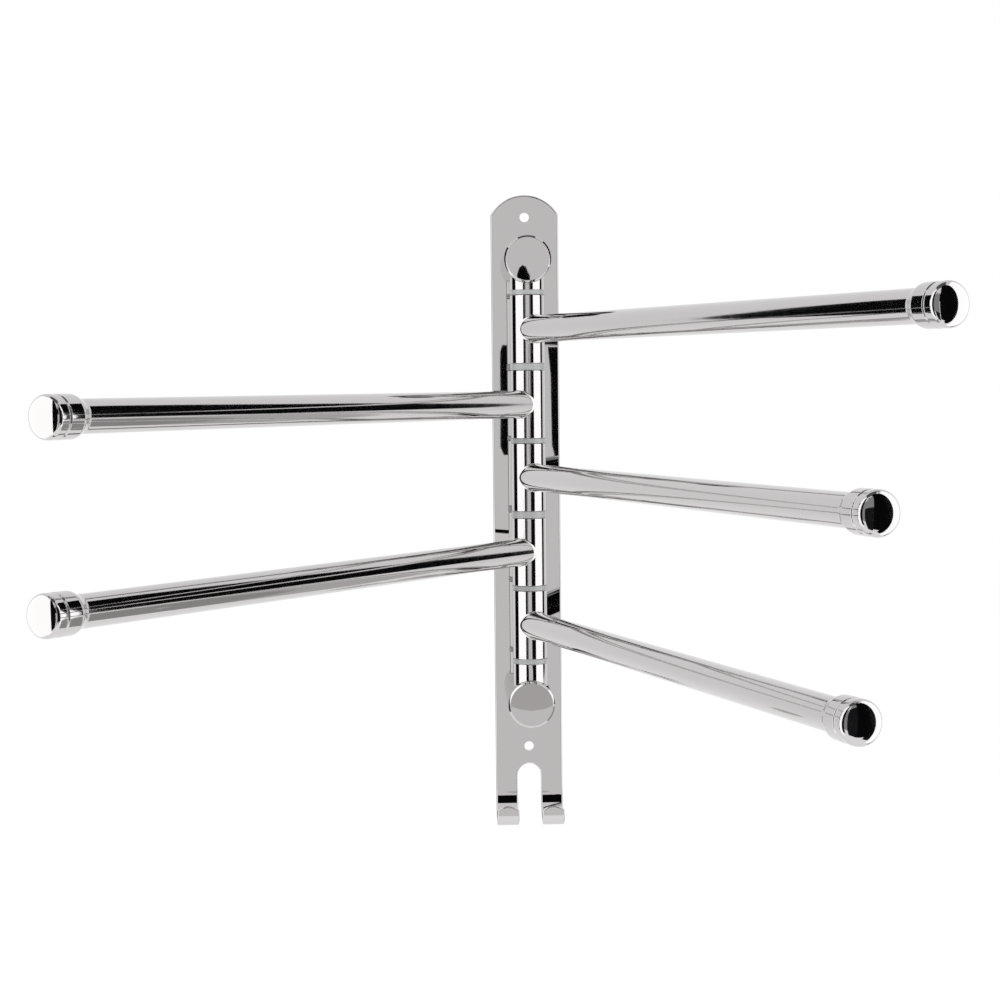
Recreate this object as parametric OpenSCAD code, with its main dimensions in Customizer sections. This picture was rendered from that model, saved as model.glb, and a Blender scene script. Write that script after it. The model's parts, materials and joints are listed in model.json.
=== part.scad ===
// Wall towel rack: five level arms swing on one upright spindle, and two hooks hang below it.
// The origin is on the back of the plate, midway between the two wall screw holes.
// +Z is up and the rack faces -Y, so the wall is the plane y = 0.

/* [Back plate] */
// Width of the back plate
plate_w = 36; // [30:1:60]
// Thickness of the sheet that the plate and hooks are made of
plate_t = 2; // [1.6:0.1:3]
// Rise of the domed top edge above the plate's shoulders
dome_rise = 10.4; // [4:0.2:15]
// Radius that rounds each shoulder of the plate
shoulder_r = 3; // [1:0.5:6]
// Distance from the upper wall screw hole to the top of the plate
hole_to_top = 11.8; // [8:0.1:30]
// Diameter of the two wall screw holes
wall_hole_d = 5; // [3:0.1:6]
// Distance from the upper post's centre up to the upper wall screw hole
upper_hole_rise = 24; // [20:0.5:60]
// Distance from the lower post's centre down to the lower wall screw hole
lower_hole_drop = 28; // [20:0.5:60]

/* [Hooks] */
// Width of the slot that parts the two hook legs
slot_w = 12.4; // [8:0.2:16]
// Distance from the lower wall screw hole down to the top of the slot
slot_drop = 9.6; // [6:0.2:30]
// Straight length of each leg, from the top of the slot to the first bend
leg_len = 11.3; // [9:0.1:40]
// Radius of the long forward bend, at the middle of the sheet
sweep_r = 24; // [10:0.5:40]
// Angle of the long forward bend
sweep_angle = 40; // [20:1:60]
// Straight run between the two bends
hook_run = 1.7; // [0.5:0.1:10]
// Radius of the tight bend that turns up into the lip, at the middle of the sheet
curl_r = 6; // [4:0.5:12]
// Straight height of the lip above the tight bend
lip_len = 4.3; // [3.5:0.1:12]
// Rise of the crowned end of the lip
lip_crown_rise = 2.2; // [1:0.1:3]

/* [Posts] */
// Diameter of the two posts
post_d = 24.4; // [20:0.2:30]
// Distance from the front of the plate to the centre of the spindle
spindle_reach = 24; // [20:0.5:50]
// Distance from the centre of the spindle to the front face of each post
post_nose = 12; // [11:0.5:20]
// Width of the bevel round the front face of each post
post_bevel = 1; // [0.4:0.1:2]
// Thread diameter of the countersunk screw behind each post
post_screw_d = 4; // [3:0.5:4.5]
// Head diameter of that screw
post_screw_head_d = 7.5; // [6:0.1:7.5]
// Length of that screw inside the post
post_screw_bite = 12; // [6:0.5:13]

/* [Spindle] */
// Diameter of the rod through the stack
rod_d = 10; // [6:0.5:10.5]
// Depth of the blind hole in each post that holds the rod's end
rod_seat = 17; // [6:0.5:17]
// Outer diameter of the hub tubes
hub_d = 18; // [16:0.5:19.5]
// Wall of the hub tubes
hub_wall = 1.5; // [1:0.1:2]
// Height from one arm to the next
hub_pitch = 38.6; // [30:0.2:60]
// Visible thickness of the thin bush flanges
thin_flange_t = 2.4; // [1.5:0.1:5]
// Visible thickness of the thick bush flanges
thick_flange_t = 3.4; // [1.5:0.1:6]
// How far a bush flange stands out past the hub tubes
flange_lip = 0.2; // [0:0.1:1]
// Length of the bush spigots inside the hub tubes
spigot_len = 6; // [3:0.5:10]
// Length of the fixed tube below the upper post, at its front
upper_stub_len = 3.6; // [2:0.2:30]
// Length of the fixed tube above the lower post, at its front
lower_stub_len = 8.6; // [2:0.2:30]

/* [Arms] */
// Distance from the centre of the spindle to the tip of each arm
arm_reach = 345; // [150:5:500]
// Outer diameter of the arm tubes
arm_d = 14; // [10:0.5:15]
// Wall of the arm tubes
arm_wall = 1; // [0.8:0.1:2]
// Angle of the first arm from the top, from the wall's right-hand side
arm_1_angle = 65.1; // [0:0.1:180]
// Angle of the second arm
arm_2_angle = 125.7; // [0:0.1:180]
// Angle of the third arm
arm_3_angle = 70.4; // [0:0.1:180]
// Angle of the fourth arm
arm_4_angle = 126.3; // [0:0.1:180]
// Angle of the fifth arm
arm_5_angle = 71.7; // [0:0.1:180]

/* [End caps] */
// Largest diameter of the end caps
cap_d = 18; // [16:0.5:24]
// Length of the taper from the tube up to the full diameter
cap_taper = 6; // [2:0.5:10]
// Length of the plain collar after the taper
cap_collar = 6.2; // [2:0.1:10]
// Width of the shallow groove after the collar
cap_groove_w = 1.6; // [1:0.1:6]
// Depth of that groove
cap_groove_depth = 0.4; // [0.2:0.1:1]
// Length of the plain rim between the groove and the dome
cap_rim = 3.2; // [1:0.1:8]
// Height of the shallow dome that ends the cap
cap_dome = 5; // [3:0.5:12]
// Length of the plug inside the arm tube
cap_plug = 10; // [4:0.5:20]

/* [Hidden] */

// Clearances: sliding round fits, end faces that turn past each other, coped tube ends
run_gap = 0.05;
end_gap = 0.1;
cope_gap = 0.05;
// Gap between an end bush's outer spigot and the post, and above the rod in its upper hole
seat_gap = 0.4;
// How far a cut runs past the face that it opens
overrun = 1;
// Small chamfer on the ends of the hub and stub tubes, and on the edge of the bush flanges
tube_chamfer = 0.4;
flange_chamfer = 0.3;
// Chamfer on the ends of the rod and of the cap plugs
lead_chamfer = 0.6;
// Hexagon socket in the heads of the post screws: size across its corners, and depth
socket_d = 2.9;
socket_depth = 1.2;
// How far the post screws lie below the back of the plate
head_sink = 0.1;
// Depth of the drilled hole past the tip of a post screw
tap_extra = 1;
round_steps = 96;
arc_steps = 16;
chrome = "#c6c7ca";
frosted = "#a3a6a7";

hub_count = 5;
arm_angles = [arm_1_angle, arm_2_angle, arm_3_angle, arm_4_angle, arm_5_angle];
flange_ts = [
    thin_flange_t, thick_flange_t, thin_flange_t, thick_flange_t, thin_flange_t, thin_flange_t
];

hub_r = hub_d / 2;
hub_bore_r = hub_r - hub_wall;
rod_r = rod_d / 2;
post_r = post_d / 2;
spindle_y = -(plate_t + spindle_reach);
post_front_y = spindle_y - post_nose;

// Heights measured from the middle of the stack of hubs
stack_half = hub_count * hub_pitch / 2;
upper_post_rise = stack_half + flange_ts[0] / 2 + upper_stub_len + post_r;
lower_post_drop = stack_half + flange_ts[hub_count] / 2 + lower_stub_len + post_r;
hole_spacing = upper_post_rise + upper_hole_rise + lower_post_drop + lower_hole_drop;

// Heights in the part's own frame, whose origin is midway between the wall screw holes
upper_hole_z = hole_spacing / 2;
lower_hole_z = -hole_spacing / 2;
upper_post_z = upper_hole_z - upper_hole_rise;
lower_post_z = lower_hole_z + lower_hole_drop;
stack_z = upper_post_z - upper_post_rise;
plate_top_z = upper_hole_z + hole_to_top;
slot_top_z = lower_hole_z - slot_drop;
bend_z = slot_top_z - leg_len;

// Height of bush n and of hub n, both counted from the top
function bush_z(n) = stack_z + stack_half - (n - 1) * hub_pitch;
function hub_z(n) = bush_z(n) - hub_pitch / 2;

// Points along an arc about [cx, cy], both ends included
function arc_points(cx, cy, r, from, to) = [
    for (i = [0:arc_steps])
        let (a = from + (to - from) * i / arc_steps)
            [cx + r * cos(a), cy + r * sin(a)]
];

// Radius of an arc that rises by the given amount over the given half width
function rise_radius(half, rise) = (half * half + rise * rise) / (2 * rise);

// Hook profile: x is the distance in front of the back face, y the height above the first bend
sheet_mid = plate_t / 2;
sweep_c = [sheet_mid + sweep_r, 0];
sweep_out = [cos(sweep_angle), sin(sweep_angle)];
run_dir = [sin(sweep_angle), -cos(sweep_angle)];
curl_c = sweep_c - (sweep_r - curl_r) * sweep_out + hook_run * run_dir;
hook_front = curl_c[0] + curl_r + sheet_mid;
lip_back = curl_c[0] + curl_r - sheet_mid;
lip_top_z = bend_z + curl_c[1] + lip_len;
hook_bottom_z = bend_z + curl_c[1] - curl_r - sheet_mid;
leg_w = (plate_w - slot_w) / 2;
leg_x = (plate_w + slot_w) / 4;

// Side profile of the bent sheet, from the top of the plate down to the two lips
module sheet_profile() {
    turn = 180 + sweep_angle;
    outer_sweep = arc_points(sweep_c[0], sweep_c[1], sweep_r + sheet_mid, 180, turn);
    outer_curl = arc_points(curl_c[0], curl_c[1], curl_r + sheet_mid, turn, 360);
    inner_curl = arc_points(curl_c[0], curl_c[1], curl_r - sheet_mid, 360, turn);
    inner_sweep = arc_points(sweep_c[0], sweep_c[1], sweep_r - sheet_mid, turn, 180);
    top = plate_top_z + overrun - bend_z;
    lip_top = curl_c[1] + lip_len;
    polygon(concat(
        [[0, top]],
        outer_sweep,
        outer_curl,
        [[hook_front, lip_top], [lip_back, lip_top]],
        inner_curl,
        inner_sweep,
        [[plate_t, top]]
    ));
}

// Front outline of the plate: straight sides, rounded shoulders and a domed top
module plate_outline() {
    half = plate_w / 2;
    dome_r = rise_radius(half, dome_rise);
    dome_z = plate_top_z - dome_r;
    round_x = half - shoulder_r;
    round_z = dome_z + sqrt(pow(dome_r - shoulder_r, 2) - pow(round_x, 2));
    turn = atan2(round_z - dome_z, round_x);
    polygon(concat(
        [[half, hook_bottom_z - overrun]],
        arc_points(round_x, round_z, shoulder_r, 0, turn),
        arc_points(0, dome_z, dome_r, turn, 180 - turn),
        arc_points(-round_x, round_z, shoulder_r, 180 - turn, 180),
        [[-half, hook_bottom_z - overrun]]
    ));
}

// A round cut along Y, from y_back forwards
module bore_y(x, z, d, y_back, length) {
    translate([x, y_back, z])
        rotate([90, 0, 0])
            cylinder(d = d, h = length, $fn = round_steps);
}

// Countersunk seat or head behind a post: a cone that widens to the back of the plate
module countersink(z, head_d, shank_d, depth) {
    translate([0, 0, z])
        rotate([90, 0, 0])
            cylinder(d1 = head_d, d2 = shank_d, h = depth, $fn = round_steps);
}

// What is cut off a lip to leave its crowned end
module lip_crown_cut(x) {
    crown_r = rise_radius(leg_w / 2, lip_crown_rise);
    depth = plate_t + 2 * overrun;
    y_back = overrun - lip_back;
    difference() {
        translate([x - leg_w / 2 - overrun, y_back - depth, lip_top_z - lip_crown_rise])
            cube([leg_w + 2 * overrun, depth, lip_crown_rise + overrun]);
        bore_y(x, lip_top_z - crown_r, 2 * crown_r, y_back + overrun, depth + 2 * overrun);
    }
}

module back_plate() {
    head_depth = (post_screw_head_d - post_screw_d) / 2 + head_sink;
    color(chrome)
        difference() {
            intersection() {
                translate([-plate_w, 0, bend_z])
                    rotate([90, 0, 90])
                        mirror([1, 0, 0])
                            linear_extrude(2 * plate_w)
                                sheet_profile();
                translate([0, overrun, 0])
                    rotate([90, 0, 0])
                        linear_extrude(hook_front + 2 * overrun)
                            plate_outline();
            }
            for (z = [upper_hole_z, lower_hole_z])
                bore_y(0, z, wall_hole_d, overrun, plate_t + 2 * overrun);
            for (z = [upper_post_z, lower_post_z]) {
                bore_y(0, z, post_screw_d + 2 * run_gap, overrun, plate_t + 2 * overrun);
                countersink(z, post_screw_head_d + 2 * head_sink, post_screw_d, head_depth);
            }
            bore_y(0, slot_top_z - slot_w / 2, slot_w, overrun, plate_t + 2 * overrun);
            translate([-slot_w / 2, -(hook_front + overrun), hook_bottom_z - overrun])
                cube([
                    slot_w,
                    hook_front + 2 * overrun,
                    slot_top_z - slot_w / 2 - hook_bottom_z + overrun
                ]);
            for (side = [-1, 1])
                lip_crown_cut(side * leg_x);
        }
}

// A turned post. up is 1 where the rod goes in from above and -1 where it goes in from below.
module post(z, up) {
    length = spindle_reach + post_nose;
    color(chrome)
        difference() {
            translate([0, -plate_t, z])
                rotate([90, 0, 0])
                    rotate_extrude($fn = round_steps)
                        polygon([
                            [0, 0],
                            [post_r, 0],
                            [post_r, length - post_bevel],
                            [post_r - post_bevel, length],
                            [0, length]
                        ]);
            translate([0, spindle_y, z + up * (post_r - rod_seat)])
                mirror([0, 0, (1 - up) / 2])
                    cylinder(r = rod_r + run_gap, h = rod_seat + overrun, $fn = round_steps);
            bore_y(
                0, z, post_screw_d + 2 * run_gap,
                overrun - plate_t, post_screw_bite + tap_extra + overrun
            );
        }
}

// The countersunk screw that holds a post to the plate from behind
module post_screw(z) {
    cone = (post_screw_head_d - post_screw_d) / 2;
    tip = plate_t + post_screw_bite;
    color(chrome)
        translate([0, 0, z])
            rotate([90, 0, 0])
                difference() {
                    rotate_extrude($fn = round_steps)
                        polygon([
                            [0, head_sink],
                            [post_screw_head_d / 2, head_sink],
                            [post_screw_d / 2, head_sink + cone],
                            [post_screw_d / 2, tip - lead_chamfer],
                            [post_screw_d / 2 - lead_chamfer, tip],
                            [0, tip]
                        ]);
                    translate([0, 0, head_sink - overrun])
                        cylinder(d = socket_d, h = socket_depth + overrun, $fn = 6);
                }
}

// The rod stands in the lower post's hole and ends just short of the bottom of the upper one
module spindle_rod() {
    low = lower_post_z + post_r - rod_seat;
    high = upper_post_z - post_r + rod_seat - seat_gap;
    color(chrome)
        translate([0, spindle_y, 0])
            rotate_extrude($fn = round_steps)
                polygon([
                    [0, low],
                    [rod_r - lead_chamfer, low],
                    [rod_r, low + lead_chamfer],
                    [rod_r, high - lead_chamfer],
                    [rod_r - lead_chamfer, high],
                    [0, high]
                ]);
}

// A length of hub tube with a small chamfer on its outer edges
module spindle_tube(low, high) {
    translate([0, spindle_y, 0])
        rotate_extrude($fn = round_steps)
            polygon([
                [hub_bore_r, low],
                [hub_r - tube_chamfer, low],
                [hub_r, low + tube_chamfer],
                [hub_r, high - tube_chamfer],
                [hub_r - tube_chamfer, high],
                [hub_bore_r, high]
            ]);
}

// The fixed tube below or above a post, coped to the post's round side
module stub_tube(low, high, post_z) {
    color(chrome)
        difference() {
            spindle_tube(low, high);
            bore_y(
                0, post_z, post_d + 2 * cope_gap,
                spindle_y + hub_d, 2 * hub_d
            );
        }
}

// A flanged plastic bush. Its spigots centre the tubes above and below it on the rod.
module bush(n) {
    t = flange_ts[n - 1];
    z = bush_z(n);
    flange_r = hub_r + flange_lip;
    spigot_r = hub_bore_r - run_gap;
    bore_r = rod_r + run_gap;
    above = n == 1 ? min(spigot_len, upper_stub_len - seat_gap) : spigot_len;
    below = n == hub_count + 1 ? min(spigot_len, lower_stub_len - seat_gap) : spigot_len;
    color(frosted)
        translate([0, spindle_y, z])
            rotate_extrude($fn = round_steps)
                polygon([
                    [bore_r, -t / 2 - below],
                    [spigot_r, -t / 2 - below],
                    [spigot_r, -t / 2],
                    [flange_r - flange_chamfer, -t / 2],
                    [flange_r, -t / 2 + flange_chamfer],
                    [flange_r, t / 2 - flange_chamfer],
                    [flange_r - flange_chamfer, t / 2],
                    [spigot_r, t / 2],
                    [spigot_r, t / 2 + above],
                    [bore_r, t / 2 + above]
                ]);
}

module hub(n) {
    color(chrome)
        spindle_tube(
            bush_z(n + 1) + flange_ts[n] / 2 + end_gap,
            bush_z(n) - flange_ts[n - 1] / 2 - end_gap
        );
}

// Places what follows along arm n: its own +Z runs from the spindle's centre to the tip
module along_arm(n) {
    translate([0, spindle_y, hub_z(n)])
        rotate([0, 0, -arm_angles[n - 1]])
            rotate([0, 90, 0])
                children();
}

cap_len = cap_taper + cap_collar + cap_groove_w + cap_rim + cap_dome;
tube_end = arm_reach - cap_len;
arm_bore_r = arm_d / 2 - arm_wall;

// Hollow arm, coped to the round side of its hub
module arm_tube(n) {
    color(chrome)
        difference() {
            along_arm(n)
                difference() {
                    cylinder(d = arm_d, h = tube_end, $fn = round_steps);
                    translate([0, 0, -overrun])
                        cylinder(r = arm_bore_r, h = tube_end + 2 * overrun, $fn = round_steps);
                }
            translate([0, spindle_y, hub_z(n) - arm_d])
                cylinder(r = hub_r + cope_gap, h = 2 * arm_d, $fn = round_steps);
        }
}

// Turned cap: plug, taper, collar, shallow groove, rim and dome, along the arm
module end_cap(n) {
    r = cap_d / 2;
    plug_r = arm_bore_r - run_gap;
    collar_at = tube_end + cap_taper;
    groove_at = collar_at + cap_collar;
    rim_at = groove_at + cap_groove_w;
    dome_at = rim_at + cap_rim;
    color(chrome)
        along_arm(n)
            rotate_extrude($fn = round_steps)
                polygon(concat(
                    [
                        [0, tube_end - cap_plug],
                        [plug_r - lead_chamfer, tube_end - cap_plug],
                        [plug_r, tube_end - cap_plug + lead_chamfer],
                        [plug_r, tube_end],
                        [arm_d / 2, tube_end],
                        [r, collar_at],
                        [r, groove_at],
                        [r - cap_groove_depth, groove_at + cap_groove_w / 2],
                        [r, rim_at]
                    ],
                    [
                        for (i = [0:arc_steps])
                            let (a = 90 * i / arc_steps)
                                [i == arc_steps ? 0 : r * cos(a), dome_at + cap_dome * sin(a)]
                    ]
                ));
}

back_plate();
post(upper_post_z, -1);  // upper_post
post(lower_post_z, 1);  // lower_post
post_screw(upper_post_z);  // upper_post_screw
post_screw(lower_post_z);  // lower_post_screw
spindle_rod();
stub_tube(bush_z(1) + flange_ts[0] / 2, upper_post_z, upper_post_z);  // upper_stub_tube
stub_tube(lower_post_z, bush_z(hub_count + 1) - flange_ts[hub_count] / 2, lower_post_z);  // lower_stub_tube
bush(1);  // bush_1
bush(2);  // bush_2
bush(3);  // bush_3
bush(4);  // bush_4
bush(5);  // bush_5
bush(6);  // bush_6
hub(1);  // hub_1
hub(2);  // hub_2
hub(3);  // hub_3
hub(4);  // hub_4
hub(5);  // hub_5
arm_tube(1);  // arm_tube_1
arm_tube(2);  // arm_tube_2
arm_tube(3);  // arm_tube_3
arm_tube(4);  // arm_tube_4
arm_tube(5);  // arm_tube_5
end_cap(1);  // end_cap_1
end_cap(2);  // end_cap_2
end_cap(3);  // end_cap_3
end_cap(4);  // end_cap_4
end_cap(5);  // end_cap_5
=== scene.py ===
"""Looks of the wall towel rack: its steel and plastic pieces, their finishes, studio and camera."""

import json
import math

import bmesh
import bpy
from mathutils import Matrix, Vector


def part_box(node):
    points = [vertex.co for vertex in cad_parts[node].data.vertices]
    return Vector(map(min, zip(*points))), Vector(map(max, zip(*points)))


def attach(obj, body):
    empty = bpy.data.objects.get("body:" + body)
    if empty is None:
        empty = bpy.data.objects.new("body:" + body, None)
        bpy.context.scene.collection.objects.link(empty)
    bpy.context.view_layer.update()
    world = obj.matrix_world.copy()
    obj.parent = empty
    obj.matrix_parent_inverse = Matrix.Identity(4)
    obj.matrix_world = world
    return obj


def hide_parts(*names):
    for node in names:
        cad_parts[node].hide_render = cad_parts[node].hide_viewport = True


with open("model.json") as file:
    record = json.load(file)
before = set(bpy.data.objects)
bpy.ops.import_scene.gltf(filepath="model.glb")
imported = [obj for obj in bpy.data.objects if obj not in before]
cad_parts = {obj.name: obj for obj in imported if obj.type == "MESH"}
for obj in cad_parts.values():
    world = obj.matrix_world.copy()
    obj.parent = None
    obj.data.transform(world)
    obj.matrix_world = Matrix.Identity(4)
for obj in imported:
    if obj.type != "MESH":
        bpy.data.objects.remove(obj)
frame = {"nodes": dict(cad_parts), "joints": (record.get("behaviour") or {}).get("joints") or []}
bpy.context.view_layer.update()

MM = 0.001

# Sizes in millimetres, as in the part's own source
PLATE_W, PLATE_T = 36, 2
DOME_RISE, SHOULDER_R = 10.4, 3
WALL_HOLE_D = 5
UPPER_HOLE_Z, LOWER_HOLE_Z = 142, -142
HOLE_TO_TOP = 11.8
SLOT_W, SLOT_DROP, LEG_LEN = 12.4, 9.6, 11.3
SWEEP_R, SWEEP_ANGLE, HOOK_RUN = 24, 40, 1.7
CURL_R, LIP_LEN, LIP_CROWN_RISE = 6, 4.3, 2.2
UPPER_POST_Z, LOWER_POST_Z, POST_D, POST_BEVEL = 118, -114, 24.4, 1
SPINDLE_Y, POST_FRONT_Y = -26, -38
SCREW_D, SCREW_HEAD_D, SCREW_BITE, HEAD_SINK = 4, 7.5, 12, 0.1
SOCKET_D, SOCKET_DEPTH, SOCKET_SIDES = 2.9, 1.2, 6
HUB_R, HUB_BORE_R, ROD_R = 9, 7.5, 5
FLANGE_LIP, SPIGOT_LEN, SEAT_GAP, RUN_GAP = 0.2, 6, 0.4, 0.05
UPPER_STUB_LEN = 3.6
ARM_R, ARM_BORE_R, TUBE_END = 7, 6, 323
CAP_R, CAP_TAPER, CAP_COLLAR, CAP_GROOVE_W, CAP_GROOVE_DEPTH = 9, 6, 6.2, 1.6, 0.4
CAP_RIM, CAP_DOME, CAP_PLUG = 3.2, 5, 10
LEAD_CHAMFER = 0.6

# Rounding that the solids leave to the looks: the weld bead, and the edges of each kind of piece
WELD_R = 0.8
SHEET_EDGE, HUB_EDGE, STUB_EDGE, FLANGE_EDGE, TURNED_EDGE = 0.8, 0.35, 0.3, 0.25, 0.12

# How far a coped end is pressed into what it meets, and how far a drill runs past the sheet
STUB_SINK, WELD_SINK, DRILL_PAST = 0.03, 0.02, 1
# Points this close are one point: on the outline of the plate, and where a turned piece closes
SAME_POINT, SAME_SEAM = 0.01, 0.001

HUBS = range(1, 6)
BUSHES = range(1, 7)

# Fineness: sides of a turned piece, degrees of one arc step, and steps along each curve
RING_STEPS = 128
ARC_STEP = 5
TAPER_STEPS, GROOVE_STEPS, DOME_STEPS, WELD_STEPS, LIP_CUTS = 10, 8, 20, 8, 15

# The cards that the polish mirrors: their colours, and the glow of a white soft box
WHITE, GREY, CHARCOAL, BLACK = "#FFFFFF", "#A0A0A2", "#1E1E20", "#0C0C0E"
BOX_GLOW = 1.8


# Modelling
def begin():
    """Object mode with nothing selected, so that an operator acts on the new piece alone."""
    if bpy.context.object and bpy.context.object.mode != "OBJECT":
        bpy.ops.object.mode_set(mode="OBJECT")
    bpy.ops.object.select_all(action="DESELECT")


def pick(piece):
    """Makes one piece the selected and active object."""
    begin()
    piece.select_set(True)
    bpy.context.view_layer.objects.active = piece


def named(name):
    """Leaves edit mode and gives the piece its name."""
    piece = bpy.context.object
    bpy.ops.object.mode_set(mode="OBJECT")
    piece.name = piece.data.name = name
    return piece


def apply_modifier(piece, label, kind, **settings):
    """Adds a modifier with its settings and makes it part of the mesh."""
    pick(piece)
    modifier = piece.modifiers.new(label, kind)
    for key, value in settings.items():
        setattr(modifier, key, value)
    bpy.ops.object.modifier_apply(modifier=modifier.name)


def extrude(x=0.0, y=0.0, z=0.0):
    """Extrudes what is selected by a distance in millimetres."""
    bpy.ops.mesh.extrude_region_move(TRANSFORM_OT_translate={"value": (x * MM, y * MM, z * MM)})


def cope(radius, gap, lateral, centre=0.0, side=1):
    """Lays the selected ring on a round barrel that crosses it, gap clear of its surface."""
    mesh = bmesh.from_edit_mesh(bpy.context.object.data)
    for vert in mesh.verts:
        if vert.select:
            across = vert.co[lateral] / MM
            vert.co.z = (centre + side * (math.sqrt(radius ** 2 - across ** 2) + gap)) * MM
    bmesh.update_edit_mesh(bpy.context.object.data)


def close_ends(hollow):
    """Bridges the two open rings of a hollow piece, or fills each open ring."""
    bpy.ops.mesh.select_all(action="DESELECT")
    bpy.ops.mesh.select_non_manifold()
    if hollow:
        bpy.ops.mesh.bridge_edge_loops()
    else:
        bpy.ops.mesh.fill_holes(sides=0)
    bpy.ops.mesh.select_all(action="SELECT")
    bpy.ops.mesh.remove_doubles(threshold=SAME_SEAM * MM)
    bpy.ops.mesh.normals_make_consistent(inside=False)


def turned(name, stations, hollow=False):
    """A piece turned about +Z. A station is a radius with a height, or with what lays its ring."""
    begin()
    radius, height = stations[0]
    bpy.ops.mesh.primitive_circle_add(
        vertices=RING_STEPS, radius=radius * MM, location=(0, 0, height * MM),
    )
    bpy.ops.object.transform_apply()
    bpy.ops.object.mode_set(mode="EDIT")
    for new_radius, lay in stations[1:]:
        rise = 0 if callable(lay) else lay - height
        extrude(z=rise)
        height += rise
        if new_radius == 0:
            bpy.ops.mesh.merge(type="CENTER")
            break
        ratio = new_radius / radius
        bpy.ops.transform.resize(value=(ratio, ratio, 1), center_override=(0, 0, height * MM))
        if callable(lay):
            lay()
        radius = new_radius
    close_ends(hollow)
    return named(name)


def cut(piece, cutter):
    """Takes the shape of the cutter out of a piece, and removes the cutter."""
    apply_modifier(piece, "cut", "BOOLEAN", operation="DIFFERENCE", object=cutter, solver="EXACT")
    bpy.data.objects.remove(cutter)


def round_edges(piece, width, segments=3, angle=35):
    """Rounds the edges that are sharper than the angle, over a width in millimetres."""
    apply_modifier(
        piece, "rounded edges", "BEVEL", width=width * MM, segments=segments,
        limit_method="ANGLE", angle_limit=math.radians(angle),
    )


def shade(piece, angle=40):
    """Smooth shading up to the angle, with flat faces kept flat."""
    pick(piece)
    bpy.ops.object.shade_smooth_by_angle(angle=math.radians(angle))
    apply_modifier(
        piece, "level flats", "WEIGHTED_NORMAL", mode="FACE_AREA", weight=50, keep_sharp=True,
    )


def place(piece, matrix):
    """Moves the mesh into its place and leaves the object at the origin."""
    piece.matrix_world = matrix
    pick(piece)
    bpy.ops.object.transform_apply()
    return piece


def along_y(piece, z):
    """Turns a piece so that its own +Z points at the room, and sets it at height z."""
    return place(piece, Matrix.Translation((0, 0, z * MM)) @ Matrix.Rotation(math.pi / 2, 4, "X"))


def copy_of(piece, name):
    """A copy with a mesh of its own."""
    made = piece.copy()
    made.data = piece.data.copy()
    made.name = made.data.name = name
    bpy.context.scene.collection.objects.link(made)
    return made


def rise_radius(half, rise):
    """Radius of an arch with this half width and rise."""
    return (half * half + rise * rise) / (2 * rise)


# Finishes
def linear(hex_colour):
    """sRGB hex to the linear colour that a shader takes."""
    channels = [int(hex_colour[i:i + 2], 16) / 255 for i in (1, 3, 5)]
    return tuple(
        c / 12.92 if c <= 0.04045 else ((c + 0.055) / 1.055) ** 2.4 for c in channels
    ) + (1.0,)


def node(tree, kind, settings=None, links=None, **values):
    """Adds a node, sets its properties and sockets, and links its inputs."""
    made = tree.nodes.new(kind)
    for key, value in (settings or {}).items():
        setattr(made, key, value)
    for key, value in values.items():
        made.inputs[key.replace("_", " ")].default_value = value
    for key, source in (links or {}).items():
        tree.links.new(source, made.inputs[key])
    return made


def new_material(name):
    """A material with an empty node tree, and that tree."""
    material = bpy.data.materials.new(name)
    material.use_nodes = True
    material.node_tree.nodes.clear()
    return material, material.node_tree


def polished_stainless(name, gloss_low, gloss_high):
    """Stainless steel buffed on the wheel: clear reflections, with a faint ripple from the wheel.
    Flat sheet takes a sharper mirror than the drawn tube and the turned caps."""
    material, tree = new_material(name)
    place_on = node(tree, "ShaderNodeTexCoord").outputs["Object"]
    # Buffing haze in patches of about 8 mm
    haze = node(tree, "ShaderNodeTexNoise", links={"Vector": place_on}, Scale=120.0, Detail=3.0)
    gloss = node(
        tree, "ShaderNodeMapRange", links={"Value": haze.outputs["Fac"]},
        From_Min=0.3, From_Max=0.7, To_Min=gloss_low, To_Max=gloss_high,
    )
    # The ripple is about 20 mm long and a few thousandths of a millimetre high
    ripple = node(tree, "ShaderNodeTexNoise", links={"Vector": place_on}, Scale=50.0, Detail=1.0)
    bump = node(
        tree, "ShaderNodeBump", links={"Height": ripple.outputs["Fac"]},
        Strength=1.0, Distance=0.004 * MM,
    )
    steel = node(
        tree, "ShaderNodeBsdfPrincipled",
        links={"Roughness": gloss.outputs["Result"], "Normal": bump.outputs["Normal"]},
        Base_Color=linear("#C3C1C1"), Metallic=1.0,
    )
    node(tree, "ShaderNodeOutputMaterial", links={"Surface": steel.outputs["BSDF"]})
    return material


def frosted_nylon():
    """Natural nylon bushes, moulded with a fine matt skin: pale grey with a soft, broken shine."""
    material, tree = new_material("frosted_nylon")
    place_on = node(tree, "ShaderNodeTexCoord").outputs["Object"]
    cloud = node(tree, "ShaderNodeTexNoise", links={"Vector": place_on}, Scale=400.0, Detail=4.0)
    tone = node(tree, "ShaderNodeValToRGB", links={"Fac": cloud.outputs["Fac"]})
    tone.color_ramp.elements[0].color = linear("#B0B2B2")
    tone.color_ramp.elements[1].color = linear("#C4C6C6")
    # Matt skin, grain of about 0.3 mm so that it shows
    grain = node(tree, "ShaderNodeTexNoise", links={"Vector": place_on}, Scale=3000.0, Detail=2.0)
    bump = node(
        tree, "ShaderNodeBump", links={"Height": grain.outputs["Fac"]},
        Strength=0.5, Distance=0.05 * MM,
    )
    nylon = node(
        tree, "ShaderNodeBsdfPrincipled",
        links={"Base Color": tone.outputs["Color"], "Normal": bump.outputs["Normal"]},
        Roughness=0.32, IOR=1.53,
    )
    node(tree, "ShaderNodeOutputMaterial", links={"Surface": nylon.outputs["BSDF"]})
    return material


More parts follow.
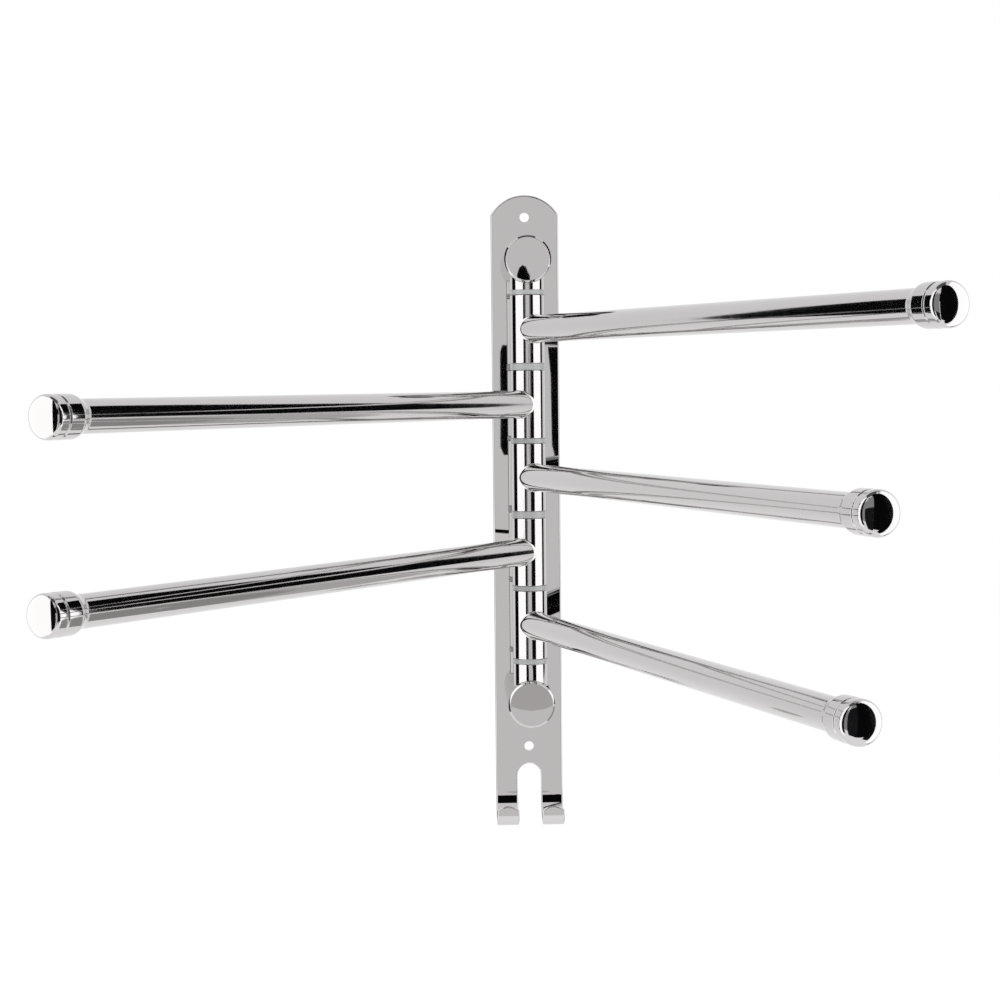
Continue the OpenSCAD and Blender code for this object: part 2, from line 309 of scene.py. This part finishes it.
def plain_turned_steel():
    """Bright drawn rod and screw steel: duller than the polish, with a fine tooled grain."""
    material, tree = new_material("plain_turned_steel")
    place_on = node(tree, "ShaderNodeTexCoord").outputs["Object"]
    # Grain of about 1 mm, coarser than the tool leaves it, so that it shows
    grain = node(tree, "ShaderNodeTexNoise", links={"Vector": place_on}, Scale=900.0, Detail=3.0)
    gloss = node(
        tree, "ShaderNodeMapRange", links={"Value": grain.outputs["Fac"]},
        From_Min=0.3, From_Max=0.7, To_Min=0.22, To_Max=0.38,
    )
    bump = node(
        tree, "ShaderNodeBump", links={"Height": grain.outputs["Fac"]},
        Strength=0.4, Distance=0.02 * MM,
    )
    steel = node(
        tree, "ShaderNodeBsdfPrincipled",
        links={"Roughness": gloss.outputs["Result"], "Normal": bump.outputs["Normal"]},
        Base_Color=linear("#A9ABAE"), Metallic=1.0,
    )
    node(tree, "ShaderNodeOutputMaterial", links={"Surface": steel.outputs["BSDF"]})
    return material


MIRROR_SHEET = polished_stainless("mirror_polished_stainless_sheet", 0.01, 0.02)
BUFFED_TUBE = polished_stainless("wheel_buffed_stainless_tube", 0.05, 0.075)
NYLON = frosted_nylon()
TURNED = plain_turned_steel()


def settle(piece, body, finish, *nodes):
    """Gives a finished piece its material, its body and the CAD nodes that it stands for."""
    piece.data.materials.clear()
    piece.data.materials.append(finish)
    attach(piece, body)
    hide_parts(*nodes)


# Back plate and hooks
def select_verts(test):
    """Selects the points whose place, in millimetres, passes the test."""
    mesh = bmesh.from_edit_mesh(bpy.context.object.data)
    mesh.select_flush(False)
    for vert in mesh.verts:
        vert.select = test(vert.co / MM)
    mesh.select_flush_mode()
    mesh.select_flush(True)
    bmesh.update_edit_mesh(bpy.context.object.data)


def spin(centre, axis, degrees):
    """Sweeps what is selected round a centre, by the right-hand rule about the axis."""
    bpy.ops.mesh.spin(
        steps=max(2, round(abs(degrees) / ARC_STEP)), angle=-math.radians(degrees),
        center=[c * MM for c in centre], axis=axis, use_auto_merge=False,
    )


def draw_plate(bend_z, slot_top_z):
    """Flat outline: up one side, over the shoulders and the dome, down, and round the slot."""
    half, slot_half = PLATE_W / 2, SLOT_W / 2
    dome_r = rise_radius(half, DOME_RISE)
    dome_z = UPPER_HOLE_Z + HOLE_TO_TOP - dome_r
    round_x = half - SHOULDER_R
    round_z = dome_z + math.sqrt((dome_r - SHOULDER_R) ** 2 - round_x ** 2)
    turn = math.degrees(math.atan2(round_z - dome_z, round_x))
    slot_arc_z = slot_top_z - slot_half
    front = (0, -1, 0)

    begin()
    bpy.ops.mesh.primitive_plane_add(size=MM, location=(half * MM, 0, bend_z * MM))
    bpy.ops.object.transform_apply()
    bpy.ops.object.mode_set(mode="EDIT")
    bpy.ops.mesh.merge(type="CENTER")
    extrude(z=round_z - bend_z)
    spin((round_x, 0, round_z), front, turn)
    spin((0, 0, dome_z), front, 180 - 2 * turn)
    spin((-round_x, 0, round_z), front, turn)
    extrude(z=bend_z - round_z)
    extrude(x=half - slot_half)
    extrude(z=slot_arc_z - bend_z)
    spin((0, 0, slot_arc_z), front, -180)
    extrude(z=bend_z - slot_arc_z)
    extrude(x=half - slot_half)
    bpy.ops.mesh.select_all(action="SELECT")
    bpy.ops.mesh.remove_doubles(threshold=SAME_POINT * MM)
    bpy.ops.mesh.edge_face_add()


def bend_hooks(bend_z):
    """Bends both legs forward and curls them up into the lips. Returns the lips' top height."""
    sweep = math.radians(SWEEP_ANGLE)
    sweep_y = -(PLATE_T / 2 + SWEEP_R)
    curl_y = sweep_y + (SWEEP_R - CURL_R) * math.cos(sweep) - HOOK_RUN * math.sin(sweep)
    curl_z = bend_z - (SWEEP_R - CURL_R) * math.sin(sweep) - HOOK_RUN * math.cos(sweep)
    side = (-1, 0, 0)
    select_verts(lambda co: abs(co.z - bend_z) < SAME_POINT)
    spin((0, sweep_y, bend_z), side, SWEEP_ANGLE)
    extrude(y=-HOOK_RUN * math.sin(sweep), z=-HOOK_RUN * math.cos(sweep))
    spin((0, curl_y, curl_z), side, 180 - SWEEP_ANGLE)
    extrude(z=LIP_LEN)
    return curl_z + LIP_LEN


def crown_lips(lip_top_z):
    """Rounds the end of each lip to a low arch."""
    leg_w, leg_x = (PLATE_W - SLOT_W) / 2, (PLATE_W + SLOT_W) / 4
    crown_r = rise_radius(leg_w / 2, LIP_CROWN_RISE)
    bpy.ops.mesh.subdivide(number_cuts=LIP_CUTS)
    mesh = bmesh.from_edit_mesh(bpy.context.object.data)
    for vert in mesh.verts:
        if vert.select and abs(vert.co.z / MM - lip_top_z) < SAME_POINT:
            off = abs(vert.co.x / MM) - leg_x
            vert.co.z = (lip_top_z - crown_r + math.sqrt(max(0, crown_r ** 2 - off ** 2))) * MM
    bmesh.update_edit_mesh(bpy.context.object.data)


def drill_plate(piece):
    """Wall holes near the ends, and a countersunk hole from behind for each post's screw."""
    through = PLATE_T + DRILL_PAST
    for z in (UPPER_HOLE_Z, LOWER_HOLE_Z):
        drill = turned("drill", [(WALL_HOLE_D / 2, -DRILL_PAST), (WALL_HOLE_D / 2, through)])
        cut(piece, along_y(drill, z))
    head_r, shank_r = SCREW_HEAD_D / 2 + HEAD_SINK, SCREW_D / 2 + RUN_GAP
    cone = head_r - shank_r
    for z in (UPPER_POST_Z, LOWER_POST_Z):
        countersink = turned("countersink", [
            (head_r + DRILL_PAST, -DRILL_PAST), (head_r, 0), (shank_r, cone), (shank_r, through),
        ])
        cut(piece, along_y(countersink, z))


def back_plate():
    """One sheet: domed plate, two wall holes, slot, and two legs bent into hooks."""
    slot_top_z = LOWER_HOLE_Z - SLOT_DROP
    bend_z = slot_top_z - LEG_LEN
    draw_plate(bend_z, slot_top_z)
    crown_lips(bend_hooks(bend_z))
    bpy.ops.mesh.select_all(action="SELECT")
    bpy.ops.mesh.normals_make_consistent(inside=False)
    piece = named("plate_and_hooks")
    # The drawn face is the back of the sheet, and faces the room, where the thickness grows
    biggest = max(piece.data.polygons, key=lambda p: p.area)
    if biggest.normal.y > 0:
        piece.data.flip_normals()
    apply_modifier(
        piece, "sheet", "SOLIDIFY", thickness=PLATE_T * MM, offset=1, use_even_offset=True,
    )
    round_edges(piece, SHEET_EDGE, segments=5)
    drill_plate(piece)
    shade(piece)
    settle(piece, "wall_bracket", MIRROR_SHEET, "back_plate")


# Posts and their screws
def posts():
    """Turned posts with a bevelled front, each held by a countersunk screw from behind."""
    r, length = POST_D / 2, -POST_FRONT_Y
    for name, z in (("upper_post", UPPER_POST_Z), ("lower_post", LOWER_POST_Z)):
        piece = turned(name + "_turned", [
            (r, PLATE_T), (r, length - POST_BEVEL), (r - POST_BEVEL, length),
        ])
        round_edges(piece, TURNED_EDGE, segments=2, angle=30)
        shade(along_y(piece, z), angle=30)
        settle(piece, "wall_bracket", MIRROR_SHEET, name)
        cone = (SCREW_HEAD_D - SCREW_D) / 2
        tip = PLATE_T + SCREW_BITE
        screw = turned(name + "_screw_turned", [
            (SCREW_HEAD_D / 2, HEAD_SINK), (SCREW_D / 2, HEAD_SINK + cone),
            (SCREW_D / 2, tip - LEAD_CHAMFER), (SCREW_D / 2 - LEAD_CHAMFER, tip),
        ])
        begin()
        bpy.ops.mesh.primitive_cylinder_add(
            vertices=SOCKET_SIDES, radius=SOCKET_D / 2 * MM, depth=2 * SOCKET_DEPTH * MM,
            location=(0, 0, HEAD_SINK * MM),
        )
        cut(screw, bpy.context.object)
        round_edges(screw, TURNED_EDGE, segments=2, angle=30)
        shade(along_y(screw, z), angle=30)
        settle(screw, "wall_bracket", TURNED, name + "_screw")


# Spindle stack
def on_spindle(piece):
    """Moves a piece turned about the origin onto the axis of the spindle."""
    return place(piece, Matrix.Translation((0, SPINDLE_Y * MM, 0)))


def stub_tubes():
    """Fixed ends of the stack, each coped to the round side of its post."""
    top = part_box("upper_stub_tube")
    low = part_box("lower_stub_tube")
    post_r = POST_D / 2
    for name, end_z, post_z, side in (
        ("upper_stub_tube", top[0].z / MM, UPPER_POST_Z, -1),
        ("lower_stub_tube", low[1].z / MM, LOWER_POST_Z, 1),
    ):
        def lay():
            cope(post_r, -STUB_SINK, 0, post_z, side)
        piece = turned(name + "_coped", [
            (HUB_BORE_R, end_z), (HUB_R, end_z), (HUB_R, lay), (HUB_BORE_R, lay),
        ], hollow=True)
        round_edges(piece, STUB_EDGE, angle=60)
        shade(on_spindle(piece))
        settle(piece, "wall_bracket", BUFFED_TUBE, name)


def bushes():
    """Flanged bushes. Their flanges are the grey lines between the tubes."""
    for n in BUSHES:
        name = f"bush_{n}"
        low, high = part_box(name)
        above = min(SPIGOT_LEN, UPPER_STUB_LEN - SEAT_GAP) if n == 1 else SPIGOT_LEN
        bottom, top = low.z / MM, high.z / MM
        flange_low, flange_high = bottom + SPIGOT_LEN, top - above
        flange_r, spigot_r, bore_r = HUB_R + FLANGE_LIP, HUB_BORE_R - RUN_GAP, ROD_R + RUN_GAP
        piece = turned(name + "_moulded", [
            (bore_r, bottom), (spigot_r, bottom), (spigot_r, flange_low), (flange_r, flange_low),
            (flange_r, flange_high), (spigot_r, flange_high), (spigot_r, top), (bore_r, top),
        ], hollow=True)
        round_edges(piece, FLANGE_EDGE)
        shade(on_spindle(piece))
        settle(piece, "wall_bracket", NYLON, name)


def hubs():
    """Lengths of tube that carry the arms and turn on the bushes."""
    for n in HUBS:
        name = f"hub_{n}"
        low, high = (corner.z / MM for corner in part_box(name))
        piece = turned(name + "_sleeve", [
            (HUB_BORE_R, low), (HUB_R, low), (HUB_R, high), (HUB_BORE_R, high),
        ], hollow=True)
        round_edges(piece, HUB_EDGE)
        shade(on_spindle(piece))
        settle(piece, f"arm_{n}", BUFFED_TUBE, name)


# Arms
def arm_angle(n):
    """Angle of arm n from the wall's right side: its joint turns it that far back to the wall."""
    joint = next(j for j in frame["joints"] if j["name"] == f"arm_{n}_swing")
    return math.radians(joint["range_deg"][1])


def along_arm(piece, n):
    """Lays a piece turned about +Z along arm n, level from the middle of its hub."""
    low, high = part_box(f"hub_{n}")
    height = (low.z + high.z) / 2
    return place(
        piece,
        Matrix.Translation((0, SPINDLE_Y * MM, height))
        @ Matrix.Rotation(-arm_angle(n), 4, "Z") @ Matrix.Rotation(math.pi / 2, 4, "Y"),
    )


def arm_pattern():
    """Hollow arm with its polished weld fillet, which lies on the round side of the hub."""
    def lay(gap):
        return lambda: cope(HUB_R, gap, 1)

    stations = [(ARM_R, TUBE_END), (ARM_R, 2 * HUB_R)]
    for i in range(WELD_STEPS + 1):
        a = math.pi / 2 * i / WELD_STEPS
        radius = ARM_R + WELD_R * (1 - math.cos(a))
        stations.append((radius, lay(WELD_R * (1 - math.sin(a)) - WELD_SINK)))
    stations += [(ARM_BORE_R, lay(0.0)), (ARM_BORE_R, TUBE_END)]
    return turned("arm_pattern", stations, hollow=True)


def ease(share):
    """Rises from 0 to 1 and falls back to 0 at 2, level at each."""
    return (1 - math.cos(math.pi * share)) / 2


def cap_pattern():
    """Turned cap: plug, taper, collar, shallow groove, rim and dome."""
    collar_at = TUBE_END + CAP_TAPER
    groove_at = collar_at + CAP_COLLAR
    rim_at = groove_at + CAP_GROOVE_W
    dome_at = rim_at + CAP_RIM
    plug_r, plug_at = ARM_BORE_R - RUN_GAP, TUBE_END - CAP_PLUG
    stations = [
        (plug_r - LEAD_CHAMFER, plug_at), (plug_r, plug_at + LEAD_CHAMFER), (plug_r, TUBE_END),
    ]
    stations += [
        (ARM_R + (CAP_R - ARM_R) * ease(i / TAPER_STEPS), TUBE_END + CAP_TAPER * i / TAPER_STEPS)
        for i in range(TAPER_STEPS + 1)
    ]
    for i in range(GROOVE_STEPS + 1):
        depth = CAP_GROOVE_DEPTH * ease(2 * i / GROOVE_STEPS)
        stations.append((CAP_R - depth, groove_at + CAP_GROOVE_W * i / GROOVE_STEPS))
    for i in range(DOME_STEPS + 1):
        a = math.pi / 2 * i / DOME_STEPS
        radius = CAP_R * math.cos(a) if i < DOME_STEPS else 0
        stations.append((radius, dome_at + CAP_DOME * math.sin(a)))
    return turned("cap_pattern", stations)


def arms():
    """One tube and one cap are modelled, then copied to each arm at its own angle and height."""
    tube, cap = arm_pattern(), cap_pattern()
    for n in HUBS:
        bar = along_arm(copy_of(tube, f"arm_bar_{n}"), n)
        shade(bar)
        settle(bar, f"arm_{n}", BUFFED_TUBE, f"arm_tube_{n}")
        end = along_arm(copy_of(cap, f"domed_cap_{n}"), n)
        shade(end, angle=50)
        settle(end, f"arm_{n}", BUFFED_TUBE, f"end_cap_{n}")
    for pattern in (tube, cap):
        bpy.data.objects.remove(pattern)


# Studio
def emission(name, hex_colour, strength):
    """An even glow that no lamp changes."""
    material, tree = new_material(name)
    glow = node(tree, "ShaderNodeEmission", Color=linear(hex_colour), Strength=strength)
    node(tree, "ShaderNodeOutputMaterial", links={"Surface": glow.outputs["Emission"]})
    return material


def upright(start, end, low, high):
    """Corners of an upright card between two points of the floor plan."""
    (x0, y0), (x1, y1) = start, end
    return [(x0, y0, low), (x1, y1, low), (x1, y1, high), (x0, y0, high)]


def sideways(x, outline):
    """Corners of a card across the room at x, from its (y, z) outline."""
    return [(x, y, z) for y, z in outline]


def facing(y, outline):
    """Corners of a card that faces the plate from depth y, from its (x, z) outline."""
    return [(x, y, z) for x, z in outline]


def flat(z, outline):
    """Corners of a level card at height z, from its (x, y) outline."""
    return [(x, y, z) for x, y in outline]


def reflected(name, corners, hex_colour, strength=1.0):
    """A flat card with these corners, in metres, that polished surfaces alone can see."""
    begin()
    bpy.ops.mesh.primitive_circle_add(vertices=len(corners), radius=1, fill_type="NGON")
    piece = bpy.context.object
    piece.name = name
    for vert, corner in zip(piece.data.vertices, corners):
        vert.co = corner
    piece.data.materials.append(emission(name, hex_colour, strength))
    piece.visible_camera = piece.visible_diffuse = piece.visible_shadow = False


def seen(tree):
    """1 for what is seen, straight, mirrored or through glass, and 0 for light on the pieces."""
    path = node(tree, "ShaderNodeLightPath")
    total = path.outputs["Is Camera Ray"]
    for kind in ("Is Glossy Ray", "Is Transmission Ray"):
        total = node(
            tree, "ShaderNodeMath", {"operation": "ADD", "use_clamp": True},
            {0: total, 1: path.outputs[kind]},
        ).outputs[0]
    return total


def white_room():
    """World that is white where it is seen, and softer as light on the rack."""
    world = bpy.data.worlds.new("white_room")
    bpy.context.scene.world = world
    world.use_nodes = True
    tree = world.node_tree
    tree.nodes.clear()
    level = node(tree, "ShaderNodeMapRange", links={"Value": seen(tree)}, To_Min=0.55, To_Max=1.0)
    sky = node(
        tree, "ShaderNodeBackground", links={"Strength": level.outputs["Result"]},
        Color=linear(WHITE),
    )
    node(tree, "ShaderNodeOutputWorld", links={"Surface": sky.outputs["Background"]})


def floor_paint():
    """Matt white floor. It glows a little where it is seen, and so meets the room with no edge."""
    material, tree = new_material("matt_white_floor")
    matt = node(tree, "ShaderNodeBsdfDiffuse", Color=linear("#D9D9D9"))
    glow = node(tree, "ShaderNodeEmission", Color=linear(WHITE), Strength=0.62)
    lit = node(
        tree, "ShaderNodeAddShader",
        links={0: matt.outputs["BSDF"], 1: glow.outputs["Emission"]},
    )
    both = node(
        tree, "ShaderNodeMixShader",
        links={0: seen(tree), 1: matt.outputs["BSDF"], 2: lit.outputs["Shader"]},
    )
    node(tree, "ShaderNodeOutputMaterial", links={"Surface": both.outputs["Shader"]})
    return material


def pale_floor():
    """Wide floor, 1.15 m below the middle of the rack."""
    begin()
    bpy.ops.mesh.primitive_plane_add(size=24, location=(0, 0, -1.15))
    floor = bpy.context.object
    floor.name = "pale_floor"
    floor.data.materials.append(floor_paint())


def room_cards():
    """White boxes, black flags and grey cards, which draw light and dark lines on the polish."""
    for name, start, end, low, high, colour, strength in (
        ("left_soft_box", (-0.25, -0.455), (-0.66, -0.09), -0.55, 0.9, WHITE, BOX_GLOW),
        ("right_soft_box", (0.46, -0.51), (0.85, -0.24), -0.55, 0.9, WHITE, BOX_GLOW),
        ("right_far_box", (4.0, -2.0), (4.0, 0.1), -1.1, 2.4, WHITE, BOX_GLOW),
        ("left_cap_card", (-0.30, -0.26), (-0.38, -0.12), -0.25, 0.25, WHITE, BOX_GLOW),
        ("right_cap_card", (0.25, -0.36), (0.27, -0.235), -0.3, 0.3, WHITE, BOX_GLOW),
        ("right_cap_flag", (0.185, -0.42), (0.2145, -0.368), -0.2, 0.25, BLACK, 1.0),
        ("left_black_border", (-0.25, -0.455), (-0.12, -0.55), -0.33, 0.6, BLACK, 1.0),
        ("right_black_border", (0.13, -0.57), (0.46, -0.51), -0.33, 1.2, BLACK, 1.0),
        ("camera_card", (-0.42, -1.5), (0.42, -1.5), -0.8, 0.295, "#F4F2F3", 1.0),
        ("dark_band", (-0.42, -1.5), (0.42, -1.5), 0.295, 1.0, BLACK, 1.0),
        ("dark_right_room", (0.42, -1.5), (2.1, -1.5), -0.8, 1.6, BLACK, 1.0),
        ("grey_left_room", (-1.6, -1.5), (-0.42, -1.5), -0.8, 1.6, GREY, 1.0),
        ("right_grey_strip", (0.07, -0.42), (0.13, -0.42), 0.03, 0.16, GREY, 1.0),
        ("right_dark_strip", (0.07, -0.42), (0.13, -0.42), -0.15, 0.03, CHARCOAL, 1.0),
        ("left_grey_strip", (-0.135, -0.42), (-0.105, -0.42), -0.15, 0.16, GREY, 1.0),
    ):
        reflected(name, upright(start, end, low, high), colour, strength)
    reflected("left_flag", sideways(-2.0, [
        (-0.16, -1.1), (1.13, -1.1), (1.13, 0.6), (1.36, 1.46), (-0.16, 1.46),
    ]), BLACK)
    reflected("right_flag", sideways(4.0, [
        (0.1, -0.7), (1.49, -0.7), (1.49, 1.15), (1.91, 2.79), (2.66, 4.52), (0.1, 4.52),
    ]), BLACK)
    reflected("dark_floor_card", flat(-1.1, [
        (0.8, 0.0), (4.2, 0.0), (4.2, 0.7), (0.8, 0.55),
    ]), "#ABA9A9")
    reflected("grey_floor_card", flat(-1.1, [
        (0.8, 0.55), (4.2, 0.7), (4.2, 1.1), (0.8, 0.8),
    ]), "#D0CECE")
    reflected("dark_ceiling", flat(1.25, [
        (-0.45, -0.75), (0.45, -0.75), (0.45, 0.15), (-0.45, 0.15),
    ]), "#656566")


def painted_reflection_cards():
    """Painted reflections: small black and grey cards, seen only in mirrors, that put dark shapes
    on the flats of the plate and the posts.
    """
    # Painted reflections: two black shapes on the flats of the plate
    reflected("left_painted_dark_reflection", facing(-0.54, [
        (0.0053, 0.0841), (0.0221, 0.084), (0.0213, -0.0039),
        (0.006, -0.0038), (0.0033, 0.0027), (0.0037, 0.0786),
    ]), BLACK)
    reflected("right_painted_dark_reflection", facing(-0.54, [
        (0.0429, 0.0822), (0.0541, 0.0821), (0.0533, -0.0107),
        (0.0493, -0.0107), (0.0454, 0.0038), (0.0447, 0.0598),
    ]), BLACK)
    # Painted reflections: a black shape on the upper post's front and a grey one on the lower
    # post's front
    reflected("upper_disc_painted_dark_reflection", facing(-0.42, [
        (0.0105, 0.1233), (0.0105, 0.1296), (0.012, 0.1345), (0.0145, 0.1366),
        (0.0169, 0.1352), (0.0183, 0.1317), (0.0197, 0.1289), (0.0196, 0.1233),
    ]), BLACK)
    reflected("lower_disc_painted_grey_reflection", facing(-0.2, [
        (0.0218, -0.14), (0.0209, -0.1352), (0.0185, -0.1309), (0.0148, -0.1278), (0.0101, -0.1261),
        (0.0053, -0.1261), (0.0007, -0.1278), (-0.0031, -0.1309), (-0.0055, -0.1352),
        (-0.0064, -0.14), (-0.0007, -0.1422), (0.0072, -0.1436), (0.0156, -0.1425),
    ]), "#D1CFCE")


def lamps():
    """Two soft lamps aimed at the rack, left out of the reflections."""
    for name, place_at, power in (
        ("key_lamp", (-1.3, -1.6, 1.5), 26.0),
        ("fill_lamp", (1.6, -1.3, 0.9), 14.0),
    ):
        lamp = bpy.data.lights.new(name, "AREA")
        lamp.shape, lamp.size, lamp.energy = "SQUARE", 1.2, power
        holder = bpy.data.objects.new(name, lamp)
        bpy.context.scene.collection.objects.link(holder)
        holder.location = place_at
        holder.rotation_euler = (-holder.location).to_track_quat("-Z", "Y").to_euler()
        holder.visible_glossy = False


def studio():
    """White room and floor, the cards that the polish mirrors, and two soft lamps."""
    bpy.context.scene.view_settings.view_transform = "Standard"
    white_room()
    pale_floor()
    room_cards()
    painted_reflection_cards()
    lamps()


def camera():
    """Stands 1.1 m in front, a little left of the plate and above its middle."""
    lens = bpy.data.cameras.new("camera")
    lens.sensor_width, lens.lens = 36, 73.12
    holder = bpy.data.objects.new("camera", lens)
    bpy.context.scene.collection.objects.link(holder)
    heading, dip, roll = 1.879, 3.323, -0.579
    holder.matrix_world = (
        Matrix.Translation((-0.0501, -1.0899, 0.0546))
        @ Matrix.Rotation(-math.radians(heading), 4, "Z")
        @ Matrix.Rotation(math.radians(90 - dip), 4, "X")
        @ Matrix.Rotation(math.radians(roll), 4, "Z")
    )
    bpy.context.scene.camera = holder


back_plate()
posts()
stub_tubes()
bushes()
hubs()
arms()
# The rod is plain all over, so its CAD solid stays and takes the finish
for slot in frame["nodes"]["spindle_rod"].material_slots:
    slot.material = TURNED
studio()
camera()

begin()
bpy.context.view_layer.update()
